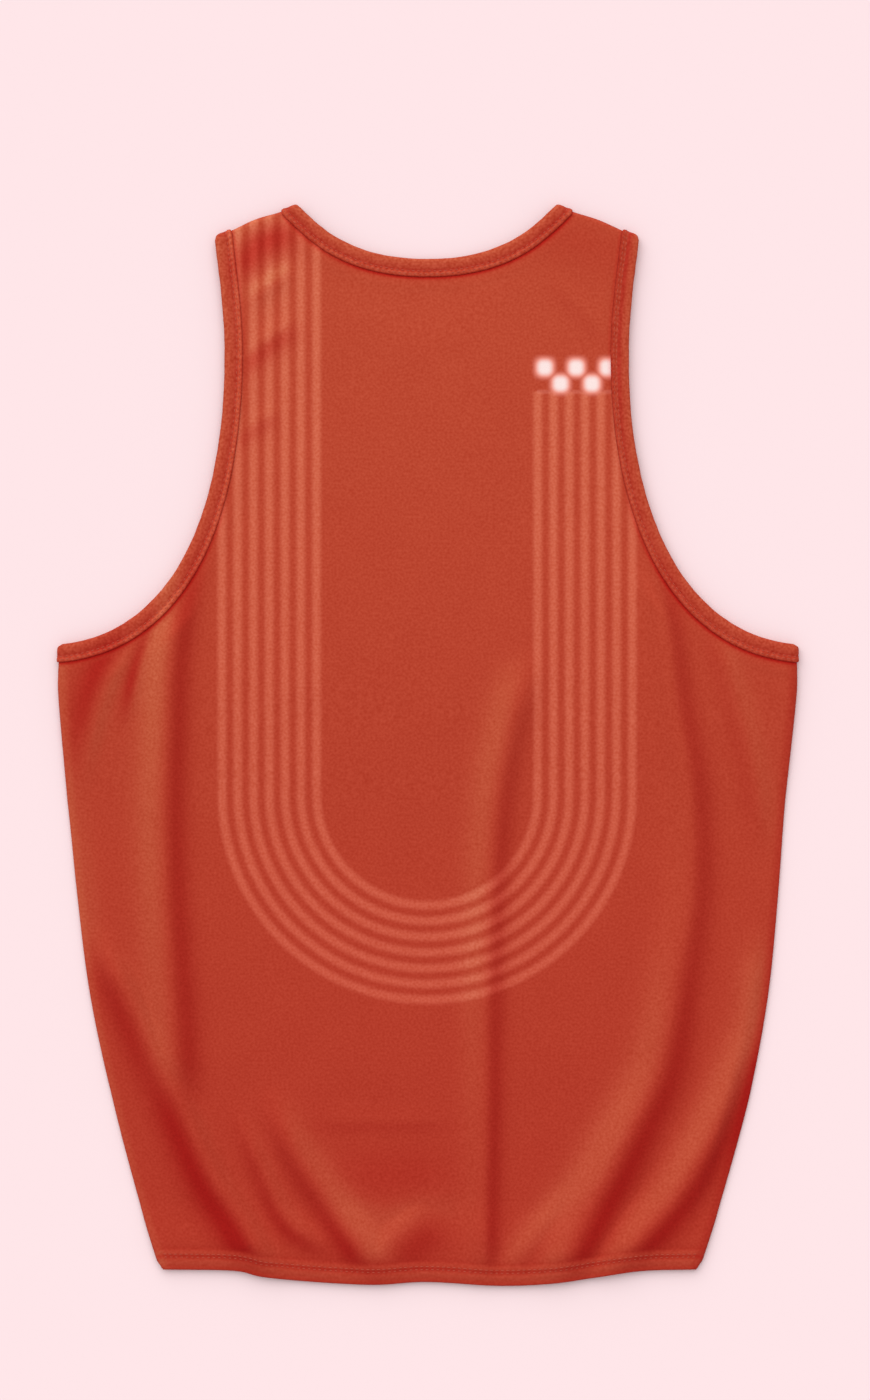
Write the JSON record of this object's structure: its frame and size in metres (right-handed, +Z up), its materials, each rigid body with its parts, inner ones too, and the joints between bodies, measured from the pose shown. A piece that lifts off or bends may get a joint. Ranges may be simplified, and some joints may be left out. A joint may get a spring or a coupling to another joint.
{
  "type": "running singlet laid flat",
  "caption": "Sleeveless running singlet in thin knitted mesh, laid flat back upwards, with bound neck and armholes, turned-up hem and soft creases.",
  "frame": {"origin": "centre of the garment's outline in plan, on the surface that it lies on", "axes": "+Y towards the neck, +X towards the wearer's right as the back is seen from above, +Z up out of the surface; metres"},
  "size_m": [0.4828, 0.7035, 0.0122],
  "materials": {
    "back_knit": "orange-red polyester mesh knit with a paler tone-on-tone running-track print and a small white chequer",
    "front_knit": "plain orange-red polyester mesh knit",
    "binding_knit": "plain orange-red knit strip, folded over the raw edge and topstitched"
  },
  "bodies": {
    "root": {"back_panel": "back_knit", "front_panel": "front_knit", "neck_binding": "binding_knit", "armhole_binding_right": "binding_knit", "armhole_binding_left": "binding_knit"}
  },
  "joints": []
}
